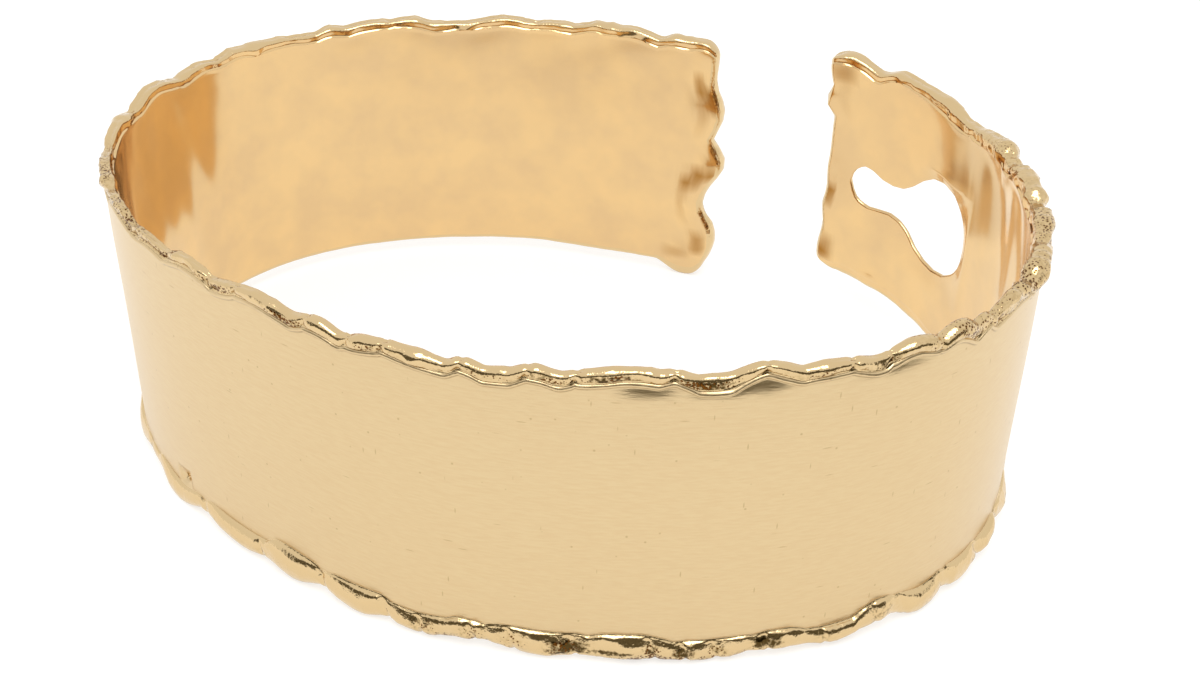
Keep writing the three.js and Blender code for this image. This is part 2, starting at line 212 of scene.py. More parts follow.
def ripple(s, z, lengths, seed):
    """Mean of plane waves of the given lengths, whose directions and phases come from the seed."""
    draw = np.random.default_rng(seed)
    total = 0.0
    for length in lengths:
        turn, phase = draw.uniform(0, math.pi), draw.uniform(0, 2 * math.pi)
        total = total + np.sin(
            2 * math.pi * (s * math.cos(turn) + z * math.sin(turn)) / length + phase
        )
    return total / len(lengths)


# %% [markdown]
# ## The lines of the two rims
# Each rim line is a straight line plus its lumps. The corners of the strip melt first, because heat
# reaches them from two sides, so each one is rounded off by its own amount.

# %% Rim lines
# mm of rounding at each corner
CORNERS = {"left top": 1.0, "left bottom": 1.3, "right top": 0.5, "right bottom": 1.2}


def rim_heights(s):
    """Rim line plus lump heights, with a quarter round taken off at each corner of the strip."""
    share, from_right = s / STRIP, STRIP - s

    def drop(distance, corner):
        """What a quarter round of the corner's radius takes off at a distance from the end."""
        return CORNERS[corner] * (1 - edge_round(distance, CORNERS[corner]))

    upper = UPPER_LINE + UPPER_LUMP * lump_sum(upper_lumps, share, "rise")
    upper = upper - drop(s, "left top") - drop(from_right, "right top")
    lower = LOWER_LINE + RIGHT_CLIMB * smoothstep(share, CLIMB_START, 1)
    lower = lower - LOWER_LUMP * lump_sum(lower_lumps, share, "rise")
    lower = lower + drop(s, "left bottom") + drop(from_right, "right bottom")
    return upper, lower


# %% [markdown]
# ## The section of a melted rim
# Cut through, the upper rim is a small round bead and the lower rim a fatter pillow. Both bulge out
# of the sheet and end in a crisp line, because the molten metal stopped there. Two quarter ellipses
# give that section: one from the very edge to the widest place, one from there back to the sheet,
# where it arrives square and leaves the line. Heights along the strip follow the lumps.

# %% Depth and width of the beads
UPPER_SWELL, LOWER_SWELL, END_SWELL = 0.53, 0.58, 0.58  # thickening at a full lump
UPPER_PLAIN, LOWER_PLAIN, END_PLAIN = 0.62, 0.5, 0.35  # share of it left between lumps
SLIM, LEFT_SLIM = 0.42, 0.25  # how much thinner: the upper bead in front, the lower one at left
SLIM_ALONG, LEFT_SLIM_ALONG = (0.34, 0.44, 0.72, 0.8), (0.42, 0.5)  # where, as shares of the strip
WIDEST = 0.47  # place of the widest part of a bead, as a share of its depth
UPPER_BEAD, SAG, NUGGET = 0.6, 0.2, 0.5  # upper bead at a fold, between folds, at a nugget
PINCH = 0.85  # depth of the lower rim between two pillows


def bead(distance, depth):
    """One up to the widest place, then a quarter ellipse down to zero at the bead's depth."""
    beyond = (distance - WIDEST * depth) / ((1 - WIDEST) * depth)
    return np.where(beyond < 1, np.sqrt(np.clip(1 - np.clip(beyond, 0, 1) ** 2, 0, None)), 0.0)


# %% [markdown]
# ### Runs and folds
# The metal ran in short tongues, and each one froze as it lapped over the next. The bead is thin at
# such a fold and sags between two of them. On the lower rim the tongues are whole pillows.

# %% Depth of the beads along the strip
# shares of the strip at which one run of melted metal folds over the next
UPPER_FOLDS = np.array([
    0.0, 0.05, 0.09, 0.13, 0.16, 0.21, 0.25, 0.28, 0.312, 0.345, 0.383, 0.415, 0.442, 0.466,
    0.481, 0.514, 0.531, 0.545, 0.5715, 0.5935, 0.609, 0.6405, 0.67, 0.6985, 0.713, 0.732, 0.757,
    0.786, 0.815, 0.848, 0.885, 0.915, 0.96, 1.0,
])
LOWER_FOLDS = np.array([
    0.26, 0.294, 0.326, 0.358, 0.395, 0.446, 0.48, 0.512, 0.54, 0.5535, 0.573, 0.587, 0.609,
    0.637, 0.648, 0.659, 0.6775, 0.699, 0.719, 0.733, 0.752, 0.776, 0.799, 0.828, 0.86, 0.893,
])


def between_folds(share, folds):
    """Zero at each fold and one half way to the next: a half ellipse over the span."""
    after = np.clip(np.searchsorted(folds, share, side="right"), 1, len(folds) - 1)
    start, end = folds[after - 1], folds[after]
    part = np.clip((share - start) / (end - start), 0, 1)
    return 2 * np.sqrt(part * (1 - part))


def upper_depth(s):
    """Bead at a fold, plus the sag between folds, and much more along the nuggets on the right."""
    share = s / STRIP
    nuggets = hump((share - 0.84) / 0.115, 0.7)
    sag = between_folds(share, UPPER_FOLDS)
    uneven = ripple(s, 0, (7.1, 4.3, 2.9), 3)
    return UPPER_BEAD + 0.07 * uneven + SAG * sag + NUGGET * nuggets * (0.4 + 0.6 * sag)


def lower_depth(s):
    """Pinch depth, or the tallest pillow that covers the place: a hump with steep ends."""
    across = (np.asarray(s / STRIP)[..., None] - lower_lumps["at"]) / (0.52 * lower_lumps["long"])
    pillows = (lower_lumps["tall"] - PINCH) * hump(across, 0.6)
    return PINCH + pillows.max(-1) + 0.08 * ripple(s, 0, (5.3, 3.7, 2.3), 4)


places = np.linspace(0, STRIP, 9)
print("upper bead deep, mm:", upper_depth(places).round(2), "lower:", lower_depth(places).round(2))

# %% [markdown]
# ## Dents
# The ends were squeezed and folded while they were soft, and a few hollows lie under the upper bead
# in front, which show as dark smudges. A dent is a hump in both directions, and a minus sign in its
# depth pushes the sheet outward.

# %% Dents
# at and up are the middle and long and tall half the size, as shares of the strip's length and
# width; deep is a share of the wall
dents = columns("at up long tall deep", [
    (0.632, 0.993, 0.0135, 0.06, 0.31), (0.654, 0.98, 0.012, 0.05, 0.27),
    (0.668, 1.0, 0.014, 0.055, 0.3), (0.7155, 0.985, 0.018, 0.05, 0.2),
    (0.628, 0.9, 0.04, 0.16, 0.06),
    (0.0085, 0.79, 0.007, 0.07, -0.25), (0.0145, 0.41, 0.006, 0.06, -0.25),
    (0.0065, 0.43, 0.006, 0.06, 0.4), (0.0125, 0.12, 0.005, 0.05, -0.25),
    (0.9955, 0.365, 0.005, 0.045, -0.35), (0.9955, 0.12, 0.005, 0.05, -0.35),
    (0.97, 0.12, 0.012, 0.05, 0.3),
    (0.33, 0.8, 0.05, 0.4, -0.5), (0.3, 0.35, 0.05, 0.5, 0.5), (0.86, 0.6, 0.05, 0.5, -0.5),
])


def dent_offset(share, up):
    """Sum of humps in both directions, inward where deep is positive."""
    along = hump((share[..., None] - dents["at"]) / dents["long"])
    across = hump((up[..., None] - dents["up"]) / dents["tall"])
    return -WALL * (dents["deep"] * along * across).sum(-1)


# %% [markdown]
# ## How thick the metal is
# The melted rims and ends are thicker than the sheet, and thickest at their lumps. Most of that
# stands out on the outer face, because the inner face lay on the mandrel.

# %% Thickness of rims and ends
OUTWARD_SHARE = 0.4  # how far the very edge lies outward of the sheet's middle
INWARD, END_INWARD = 0.12, 0.7  # thickening of the inner face, as a share of the outer
INNER_FLARE, FRONT_THIN = 0.18, 0.15  # inner face near the upper rim: thicker behind, thinner ahead
THIN_ALONG = (0.27, 0.37, 0.74, 0.84)  # shares of the strip between which it is thinner
# mm from an end of the strip: reach of its melted part, rounding of its edge, reach of its lumps
END_REACH, END_ROUND, END_FADE = 1.6, 0.62, 3.5


def thickening(full, plain, lumps, place):
    """Full swelling, times a plain share plus what the lumps add at the place."""
    return full * (plain + (1 - plain) * lump_sum(lumps, place, "swell"))


def near_end(distance):
    """One at an end of the strip, and zero past the reach of its melted part."""
    return 1 - smoothstep(distance, 0.5 * END_REACH, 1.25 * END_REACH)


def rim_swell(s, up):
    """Swelling of the upper bead, of the lower pillows, and of the nearer end of the strip."""
    share = s / STRIP
    slim = 1 - SLIM * plateau(share, *SLIM_ALONG)
    low_left = 1 - LEFT_SLIM * (1 - smoothstep(share, *LEFT_SLIM_ALONG))
    on_upper = thickening(UPPER_SWELL, UPPER_PLAIN, upper_lumps, share) * slim
    on_lower = thickening(LOWER_SWELL, LOWER_PLAIN, lower_lumps, share) * low_left
    at_ends = np.maximum(
        thickening(END_SWELL, END_PLAIN, left_end_lumps, up) * near_end(s),
        thickening(END_SWELL, END_PLAIN, right_end_lumps, up) * near_end(STRIP - s),
    )
    return on_upper, on_lower, at_ends


# %% [markdown]
# ## A mirror that isn't quite true
# The inner face was rubbed over a mandrel and is wavy by a few hundredths of a millimetre. Nobody
# would feel it, but a polished face turns it into wavy reflections. They are strongest round the two
# tight bends, where the sheet was worked most.

# %% Waves and flare of the inner face
def inner_waves(s, z):
    """Sum of four ripples, heights and lengths in mm; the last two fade away from tight bends."""
    share = s / STRIP
    tight_bends = hump((share - 0.3) / 0.09) + hump((share - 0.86) / 0.08)
    return (
        0.05 * ripple(s, 0.25 * z, (17.0, 11.0, 7.3, 5.1), 11)
        + 0.03 * ripple(s, z, (6.1, 9.7, 4.3), 12)
        + 0.09 * tight_bends * ripple(s, 0.2 * z, (5.3, 3.9, 7.1), 13)
        + 0.03 * tight_bends * ripple(s, 0.15 * z, (2.3, 3.1, 1.9), 14)
    )


def inner_flare(share, up):
    """A smooth step up to the upper rim: the flare behind, less the thinning along the front."""
    flare = INNER_FLARE - (INNER_FLARE + FRONT_THIN) * plateau(share, *THIN_ALONG)
    return 2 * flare * smoothstep(up, 0.7, 1.3)


# %% [markdown]
# ## Both faces of the sheet
# Now everything meets in one function. It gives the outer and the inner point for any place on the
# strip: half the wall, plus the swellings, plus the melt relief, all drawn together towards the
# edges so that both faces end in one line. Under the upper bead a thin collar of metal half melted,
# and stayed a hair thicker than the sheet.

# %% Points of the two faces
COLLAR, COLLAR_PROUD = 0.3, 0.12  # height and thickness of the half melted collar


def faces(s, z, melt=0.0):
    """Outer and inner points: middle offset plus or minus half the thickness, rounded at edges."""
    s, z = np.broadcast_arrays(s, z)
    share, from_right = s / STRIP, STRIP - s
    up = (z - LOWER_LINE) / (UPPER_LINE - LOWER_LINE)
    upper, lower = rim_heights(s)
    from_top, from_bottom = upper - z, z - lower
    top_depth, foot_depth = upper_depth(s), lower_depth(s)
    on_upper, on_lower, at_ends = rim_swell(s, up)
    swell = np.maximum.reduce(
        [on_upper * bead(from_top, top_depth), on_lower * bead(from_bottom, foot_depth), at_ends]
    )
    behind_bead = 1 - smoothstep(from_top, 0.6 * top_depth, 1.4 * top_depth)
    inward = np.maximum(INWARD * on_upper * behind_bead, END_INWARD * at_ends)
    inward = inward + inner_flare(share, up)

    top_round = edge_round(from_top, WIDEST * top_depth)
    foot_round = edge_round(from_bottom, WIDEST * foot_depth)
    rounding = top_round * foot_round
    rounding = rounding * edge_round(s, END_ROUND) * edge_round(from_right, END_ROUND)
    z = z + melt * (foot_round - top_round)
    inside_edge = smoothstep(np.minimum(from_top - top_depth, from_bottom - foot_depth), 0, 1.5)
    waves = inside_edge * inner_waves(s, z)
    collar_part = (from_top - top_depth) / COLLAR
    collar = COLLAR_PROUD * hump(2 * collar_part - 1, 0.5) * (collar_part > 0)

    middle = OUTWARD_SHARE * swell * (1 - rounding) + dent_offset(share, up)
    outer = middle + rounding * (WALL / 2 + swell + melt + collar)
    inner = middle - rounding * (WALL / 2 + inward + 0.6 * melt - waves)
    left = END_LUMP * lump_sum(left_end_lumps, up, "rise") * hump(s / END_FADE)
    right = END_LUMP * lump_sum(right_end_lumps, up, "rise") * hump(from_right / END_FADE)
    return bend(s - left + right, outer, z), bend(s - left + right, inner, z)


# %% [markdown]
# ## The net
# The mesh is a net of columns along the strip and rows up it. Columns crowd along the front, which
# the camera sees from close by, and at the two ends, which are rounded.

# %% Columns
FINE_STEP, COARSE_STEP = 0.14, 0.27  # mm between columns
FRONT = (0.4, 0.92)  # shares of the strip between which the columns are fine
END_COLUMNS = 8


def steps_up_to(after, end, step):
    """Places one step apart, from one step past the first value to the first at or past the end."""
    return np.arange(after + step, end + step, step)


end_s = END_ROUND * (1 - np.cos(np.linspace(0, math.pi / 2, END_COLUMNS)))
left_s = steps_up_to(END_ROUND - COARSE_STEP / 2, FRONT[0] * STRIP, COARSE_STEP)
front_s = steps_up_to(left_s[-1], FRONT[1] * STRIP, FINE_STEP)
right_s = steps_up_to(front_s[-1], STRIP - END_ROUND - 1.5 * COARSE_STEP, COARSE_STEP)
column_s = np.concatenate([end_s, left_s, front_s, right_s, STRIP - end_s[::-1]])
print("columns:", len(column_s))

# %% [markdown]
# ### Rows that follow the beads
# Rows crowd where the section turns and follow each bead's own depth, so the crisp line at its foot
# is an unbroken row of edges. A mesh with straight rows would saw that line into teeth.

# %% Rows
BEAD_ROWS, MIDDLE_ROWS = 6, 15


def bead_rows(depth):
    """Distances from an edge to each row of its bead: even turns of the two quarter ellipses."""
    turn = np.linspace(0, math.pi / 2, BEAD_ROWS + 1)
    first = WIDEST * depth * (1 - np.cos(turn))
    second = depth * (WIDEST + (1 - WIDEST) * np.sin(turn[1:]))
    return np.concatenate([first, second], axis=-1)


# mm from the foot of the bead: rows down over the collar and past it, and rows above a pillow
BELOW_COLLAR = np.concatenate([
    COLLAR * np.array([0.03, 0.15, 0.4, 0.65, 0.87, 0.98]),
    COLLAR + np.array([0.03, 0.09, 0.2, 0.4, 0.7, 1.2]),
])
ABOVE_PILLOW = np.array([0.05, 0.3, 0.75])
upper_line, lower_line = rim_heights(column_s)
foot, top = lower_depth(column_s)[:, None], upper_depth(column_s)[:, None]
from_foot = np.concatenate([bead_rows(foot), foot + ABOVE_PILLOW], axis=1)
from_crest = np.concatenate([bead_rows(top), top + BELOW_COLLAR], axis=1)[:, ::-1]
foot_z = lower_line[:, None] + from_foot
crest_z = upper_line[:, None] - from_crest
mix = np.arange(1, MIDDLE_ROWS + 1) / (MIDDLE_ROWS + 1)
between_z = foot_z[:, -1:] * (1 - mix) + crest_z[:, :1] * mix
net_z = np.concatenate([foot_z, between_z, crest_z], axis=1)
net_s = np.broadcast_to(column_s[:, None], net_z.shape)
print("net:", net_z.shape[0], "columns by", net_z.shape[1], "rows")

# %% [markdown]
# ## Scalloped metal
# Molten gold freezes in small dished patches that meet in soft ridges, which is why a melted rim
# glitters. Every vertex of a rim looks for its nearest patch centre, and sinks the more the nearer
# it is. The centres come from a seeded draw, so the rim is the same on every run.

# %% Scallops
SCALLOPS = [(1.3, 0.12, 1.3), (4.5, 0.045, 0.55)]  # patches per mm of rim, depth, size
SMOOTH_LEFT = 0.35  # what is left of them along the smooth left part of the lower rim
draw = np.random.default_rng(7)


def add_scallops(away, depth, per_mm, deep, size):
    """Sinks the rim by a depth times one minus the squared distance to the nearest centre."""
    nearest = np.full_like(net_z, 4.0)
    count = int(per_mm * STRIP)
    spots = zip(
        draw.uniform(0, STRIP, count), draw.uniform(0, 1, count),
        size * draw.uniform(0.6, 1.2, count), size * draw.uniform(0.4, 0.8, count),
    )
    for at, rise, long, tall in spots:
        window = slice(*np.searchsorted(column_s, (at - 2 * long, at + 2 * long)))
        down = (away[window] - rise * depth[window]) / tall
        apart = ((column_s[window, None] - at) / long) ** 2 + down**2
        nearest[window] = np.minimum(nearest[window], apart)
    return deep * (np.clip(nearest, 0, 1.4) - 1.0)


# %% [markdown]
# ### Relief of the two rims
# The scallops and the folds are added up as one height per vertex. A fold is a narrow slanting
# groove where one run of metal lapped over the next. The scallops are boldest on the upper rim behind
# and on the right, where the torch stayed longest, and the folds are deepest in front. How far
# across its bead each vertex lies is kept, because the film with its painted dark reflection, and
# the pits, will need it.

# %% Scallops and folds on the two rims
FOLD_DEEP, FOLD_WIDE, FOLD_SLANT = 0.16, 0.16, 0.35
FRONT_ALONG, LESS_SMOOTH_ALONG = (0.45, 0.5, 0.7, 0.76), (0.46, 0.56)  # shares of the strip
melt = np.zeros_like(net_z)
across_bead = np.full_like(net_z, 2.0)  # 0 at the edge, 1 at the crisp line, 2 on the plain sheet
front_share = plateau(column_s / STRIP, *FRONT_ALONG)
for edge_line, depth, sign, folds in (
    (lower_line, foot, 1, LOWER_FOLDS),
    (upper_line, top, -1, UPPER_FOLDS),
):
    away = sign * (net_z - edge_line[:, None])
    on_rim = 1 - smoothstep(away, 0.9 * depth, depth)
    strength = SMOOTH_LEFT + (1 - SMOOTH_LEFT) * smoothstep(net_s / STRIP, *LESS_SMOOTH_ALONG)
    strength = 0.8 * strength if sign > 0 else 2.0 - 1.1 * front_share[:, None]
    fold_deep = FOLD_DEEP * (0.45 + 0.55 * front_share[:, None])
    for per_mm, deep, size in SCALLOPS:
        melt += add_scallops(away, depth, per_mm, deep, size) * on_rim * strength
    slant = column_s[:, None] + FOLD_SLANT * (away - 0.5 * depth)
    from_fold = np.abs(slant[..., None] - folds * STRIP).min(-1)
    melt -= fold_deep * np.exp(-((from_fold / FOLD_WIDE) ** 2)) * on_rim
    across_bead = np.where(away <= depth * 1.001, away / depth, across_bead)
print(f"rims moved by {melt.min():.3f} to {melt.max():.3f} mm")

# %% [markdown]
# ## The melted hole and the pinhole
# The torch burned a keyhole-shaped opening through the sheet near the right end, and a pinhole
# above the lower rim. The large outline is a table of its upper and lower edges, read off with a
# turn angle, so that it closes by itself. The pinhole is a small oval.

# %% Outlines of the holes
HOLE_LONG, HOLE_TALL, HOLE_FROM_END, HOLE_MIDDLE = 12.0, 6.9, 2.0, 10.35
PIN_AT = 0.43  # share of the strip
PIN_LONG, PIN_TALL, PIN_MIDDLE, PIN_LEAN = 0.6, 0.5, 2.28, 0.12
hole_from = STRIP - HOLE_FROM_END - HOLE_LONG

# along the hole from its wide end, upper edge, lower edge: shares of its length and height
hole_shape = columns("along upper lower", [
    (0.0, 0.02, 0.02), (0.008, 0.17, -0.14), (0.035, 0.27, -0.27), (0.09, 0.37, -0.37),
    (0.17, 0.46, -0.46), (0.28, 0.5, -0.5), (0.38, 0.475, -0.475), (0.47, 0.38, -0.4),
    (0.55, 0.25, -0.27), (0.62, 0.17, -0.205), (0.7, 0.145, -0.178), (0.78, 0.16, -0.195),
    (0.86, 0.225, -0.212), (0.92, 0.238, -0.19), (0.965, 0.19, -0.13), (0.99, 0.115, -0.04),
    (1.0, 0.04, 0.04),
])


def hole_edge(turn):
    """Outline at a turn angle: along by its cosine, then the upper or the lower edge there."""
    along = 0.5 * (1 + np.cos(turn))
    branch = np.where(
        np.sin(turn) >= 0,
        np.interp(along, hole_shape["along"], hole_shape["upper"]),
        np.interp(along, hole_shape["along"], hole_shape["lower"]),
    )
    return hole_from + along * HOLE_LONG, HOLE_MIDDLE + branch * HOLE_TALL


def pin_edge(turn):
    """An oval that leans a little, as the drop of metal ran."""
    s = PIN_AT * STRIP + 0.5 * PIN_LONG * np.cos(turn)
    return s, PIN_MIDDLE + 0.5 * PIN_TALL * np.sin(turn) + PIN_LEAN * np.cos(turn)


# %% [markdown]
# ## Two skins and one edge
# The net is now laid twice, as the outer and the inner face. Along its border both faces end in the
# same line, so border vertices are shared and the metal is closed all round. Each cell remembers
# which finish it will have.

# %% Points of the net
outer_net, inner_net = faces(net_s, net_z, melt)
rows = net_z.shape[1]
last = len(column_s) - 1
on_edge = np.zeros(net_z.shape, bool)
on_edge[[0, last], :] = True
on_edge[:, [0, rows - 1]] = True
outer_id = np.arange(net_z.size).reshape(net_z.shape)
inner_id = np.where(on_edge, outer_id, 0)
inner_id[~on_edge] = net_z.size + np.arange((~on_edge).sum())
points = [outer_net.reshape(-1, 3), inner_net[~on_edge]]
cell_kept = np.ones((last, rows - 1), bool)
SATIN, POLISHED, MELTED = 0, 1, 2
quads, finishes = [], []


def add_quads(a, b, c, d, finish):
    """Keeps quads given as four arrays of vertex numbers, with the finish of each."""
    quads.append(np.stack([np.ravel(v) for v in (a, b, c, d)], axis=1))
    finishes.append(np.broadcast_to(finish, np.shape(a)).ravel())


# %% [markdown]
# ## Opening a hole
# A patch of the net is taken out round each hole, and rings of new cells run from the rim of the
# patch to the outline, where both faces meet in a rounded lip. A Boolean cut would be shorter to
# write, but it leaves long thin cells, and polished metal shows them as cracks in its reflections.

# %% Rings round a hole
LIP_ROUND, LIP_THIN = 0.14, 0.4  # mm of rounding, and share of the wall left at the lip
LIP_RINGS = np.array([0.75, 0.36, 0.2, 0.09, 0.025])  # mm of each ring from the outline


def patch_loop(first, last_column, low, high):
    """Column and row numbers once round a patch: along its foot, up, back along its top, down."""
    run, climb = np.arange(first, last_column), np.arange(low, high)
    return np.concatenate([
        np.stack([run, np.full_like(run, low)], 1),
        np.stack([np.full_like(climb, last_column), climb], 1),
        np.stack([run[::-1] + 1, np.full_like(run, high)], 1),
        np.stack([np.full_like(climb, first), climb[::-1] + 1], 1),
    ])


def ahead(ring):
    """The same ring, started one place further on."""
    return np.roll(ring, -1)


def open_hole(first, last_column, low, high, edge):
    """Takes out cells of a patch, and joins its rim to the outline by rings nearer and nearer."""
    cell_kept[first:last_column, low:high] = False
    loop = patch_loop(first, last_column, low, high)
    rim_s, rim_z = net_s[loop[:, 0], loop[:, 1]], net_z[loop[:, 0], loop[:, 1]]
    centre_s, half_s = (rim_s.max() + rim_s.min()) / 2, np.ptp(rim_s) / 2
    centre_z, half_z = (rim_z.max() + rim_z.min()) / 2, np.ptp(rim_z) / 2
    turn = np.arctan2((rim_z - centre_z) / half_z, (rim_s - centre_s) / half_s)
    edge_s, edge_z = edge(turn)
    gap = np.hypot(edge_s - rim_s, edge_z - rim_z)
    distances = [gap * 0.75, gap * 0.5] if gap.min() > 2 * LIP_RINGS[0] else [gap * 0.8]
    distances += [np.minimum(d, 0.7 * gap * d / LIP_RINGS[0]) for d in LIP_RINGS]
    outer_ring = outer_id[loop[:, 0], loop[:, 1]]
    inner_ring = inner_id[loop[:, 0], loop[:, 1]]
    for distance in distances + [np.zeros_like(gap)]:
        part = distance / gap
        s, z = edge_s + (rim_s - edge_s) * part, edge_z + (rim_z - edge_z) * part
        outer, inner = faces(s, z)
        taper = LIP_THIN + (1 - LIP_THIN) * smoothstep(distance, 0, 0.95 * gap)
        thin = (taper * edge_round(distance, LIP_ROUND))[:, None]
        middle = (outer + inner) / 2
        outer, inner = middle + (outer - middle) * thin, middle + (inner - middle) * thin
        start = sum(len(p) for p in points)
        next_outer = start + np.arange(len(loop))
        points.append(outer)
        next_inner = next_outer
        if distance.max() > 0:
            points.append(inner)
            next_inner = next_outer + len(loop)
        add_quads(outer_ring, ahead(outer_ring), ahead(next_outer), next_outer, SATIN)
        add_quads(inner_ring, next_inner, ahead(next_inner), ahead(inner_ring), POLISHED)
        outer_ring, inner_ring = next_outer, next_inner
    print("hole with", len(loop), "sides, at least", round(float(gap.min()), 2), "mm from the net")


# %% Both holes
def columns_at(start, end):
    """Numbers of the columns at two places along the strip."""
    return np.searchsorted(column_s, (start, end))


# mm that a patch reaches past its hole, and heights between which the large patch lies
LEFT_MARGIN, RIGHT_MARGIN, PIN_MARGIN, PIN_ROWS = 0.9, 0.95, 0.95, 4
PATCH_LOW, PATCH_HIGH = 6.3, 14.4

hole_column = columns_at(hole_from + 0.5 * HOLE_LONG, STRIP)[0]
hole_rows = np.searchsorted(net_z[hole_column], (PATCH_LOW, PATCH_HIGH)) - (1, 0)
hole_columns = columns_at(hole_from - LEFT_MARGIN, STRIP - HOLE_FROM_END + RIGHT_MARGIN)
open_hole(*hole_columns, *hole_rows, hole_edge)
pin_columns = columns_at(PIN_AT * STRIP - PIN_MARGIN, PIN_AT * STRIP + PIN_MARGIN)
open_hole(*pin_columns, 2 * BEAD_ROWS, 2 * BEAD_ROWS + PIN_ROWS, pin_edge)

# %% [markdown]
# ## One closed mesh
# The cells that are left join the rings. Beads and the two ends get the melted finish, the outside
# is satin and the inside polished. The cuff stands on its lowest lumps, so they are cut level at
# the table, as they are worn level on the real thing. The arrays are then handed to Blender whole,
# which takes a moment, where a loop over the vertices would take a minute.

# %% Cells of the net
MELTED_END = 0.45  # mm of the strip that has the melted finish at each end
i, j = np.nonzero(cell_kept)
edge_cells = (column_s[i] < MELTED_END) | (column_s[i] > STRIP - MELTED_END)
on_bead = (j < 2 * BEAD_ROWS) | (j >= rows - 1 - 2 * BEAD_ROWS) | edge_cells
on_crest = (j < BEAD_ROWS) | (j >= rows - 1 - BEAD_ROWS) | edge_cells
add_quads(
    outer_id[i, j], outer_id[i + 1, j], outer_id[i + 1, j + 1], outer_id[i, j + 1],
    np.where(on_bead, MELTED, SATIN),
)
add_quads(
    inner_id[i, j], inner_id[i, j + 1], inner_id[i + 1, j + 1], inner_id[i + 1, j],
    np.where(on_crest, MELTED, POLISHED),
)
points, quads, finishes = np.concatenate(points), np.concatenate(quads), np.concatenate(finishes)

# %% Standing on the table, inside the CAD box
TOP_CLEAR = 0.02  # mm that the highest lump stays below the top of the CAD box
low_corner, high_corner = (np.array(c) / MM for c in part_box("cuff_band"))
points[:, 2] = np.clip(points[:, 2], 0, high_corner[2] - TOP_CLEAR)
middle = (points.min(0) + points.max(0)) / 2
points[:, :2] += ((low_corner + high_corner) / 2 - middle)[:2]
print("mesh box in mm:", points.min(0).round(3), points.max(0).round(3))

# %% The finished mesh
def put(name, data):
    """A new object that holds the data, linked to the scene at the world's origin."""
    thing = bpy.data.objects.new(name, data)
    bpy.context.scene.collection.objects.link(thing)
    return thing


cuff_mesh = bpy.data.meshes.new("melted gold cuff")
cuff_mesh.vertices.add(len(points))
cuff_mesh.vertices.foreach_set("co", (points * MM).astype(np.float32).ravel())
cuff_mesh.loops.add(quads.size)
cuff_mesh.loops.foreach_set("vertex_index", quads.astype(np.int32).ravel())
cuff_mesh.polygons.add(len(quads))
cuff_mesh.polygons.foreach_set("loop_start", np.arange(0, quads.size, 4, dtype=np.int32))
cuff_mesh.polygons.foreach_set("material_index", finishes.astype(np.int32))
cuff_mesh.polygons.foreach_set("use_smooth", np.ones(len(quads), bool))
cuff_mesh.update(calc_edges=True)
cuff_mesh.validate()
cuff = put("melted_gold_cuff", cuff_mesh)
print("cuff:", 2 * len(quads), "triangles")
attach(cuff, "root")
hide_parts("cuff_band")


# %% [markdown]
# ## Gold, three ways
# All of it is the same yellow gold, and metal shows its colour only in what it mirrors. What differs
# is how each face was treated: the outside is satin from fine paper, the inside is polished, and the
# rims are as the torch left them. Their tones differ a little, as on the real cuff: the polished face
# is a shade redder than the satin one.

# %% Colour and node helpers
def from_hex(text):
    """A screen colour such as #e6c48b as linear red, green, blue and alpha."""
    shares = np.array([int(text[k : k + 2], 16) / 255 for k in (1, 3, 5)])
    linear = np.where(shares <= 0.04045, shares / 12.92, ((shares + 0.055) / 1.055) ** 2.4)
    return (*linear.tolist(), 1.0)


def add_node(tree, kind, inputs=None, **settings):
    """A shader node with its settings; each input is a plain value or a socket to link from."""
    node = tree.nodes.new("ShaderNode" + kind)
    for name, value in settings.items():
        setattr(node, name, value)
    for name, value in (inputs or {}).items():
        if isinstance(value, bpy.types.NodeSocket):
            tree.links.new(value, node.inputs[name])
        else:
            node.inputs[name].default_value = value
    return node


def surface(mesh, name, colour, roughness):
    """The mesh's next material, of a colour and a roughness; gives its node tree and its shader."""
    material = bpy.data.materials.new(name)
    material.use_nodes = True
    mesh.materials.append(material)
    shader = material.node_tree.nodes["Principled BSDF"]
    shader.inputs["Base Color"].default_value = from_hex(colour)
    shader.inputs["Roughness"].default_value = roughness
    return material.node_tree, shader


def gold(name, colour, roughness):
    """A surface of the cuff, fully metallic, and the place on it as a socket."""
    tree, shader = surface(cuff_mesh, name, colour, roughness)
    shader.inputs["Metallic"].default_value = 1.0
    return tree, shader, add_node(tree, "TexCoord").outputs["Object"]


def paint(tree, shader, colour, layers):
    """Lays each tone over the colour below it, by its amount, and gives the shader the result."""
    for amount, tone in layers:
        colour = add_node(
            tree, "Mix", {0: amount, 6: colour, 7: from_hex(tone)}, data_type="RGBA"
        ).outputs[2]
    tree.links.new(colour, shader.inputs["Base Color"])


# %% [markdown]
# ### Satin outside
# Fine paper leaves hair-thin scratches and a few specks. They hardly change the colour, but they
# spread the reflection and keep a large plain face from looking like plastic.

# %% Satin yellow gold
# gives the eye a calm, soft sheen with no mirror image in it
tree, shader, place = gold("satin yellow gold", "#d8bf94", 0.3)
SCRATCH_MM = 0.25  # about the spacing of the paper's scratches, drawn coarser than real
hair = add_node(tree, "Mapping", {"Vector": place, "Rotation": (0, 0.2, 0), "Scale": (1, 1, 7)})
scratches = add_node(
    tree, "TexNoise",
    {"Vector": hair.outputs["Vector"], "Scale": 0.3 / (SCRATCH_MM * MM), "Detail": 4.0},
)
bump = add_node(
    tree, "Bump",
    {"Height": scratches.outputs["Fac"], "Strength": 0.8, "Distance": 0.02 * MM},
)
tree.links.new(bump.outputs["Normal"], shader.inputs["Normal"])

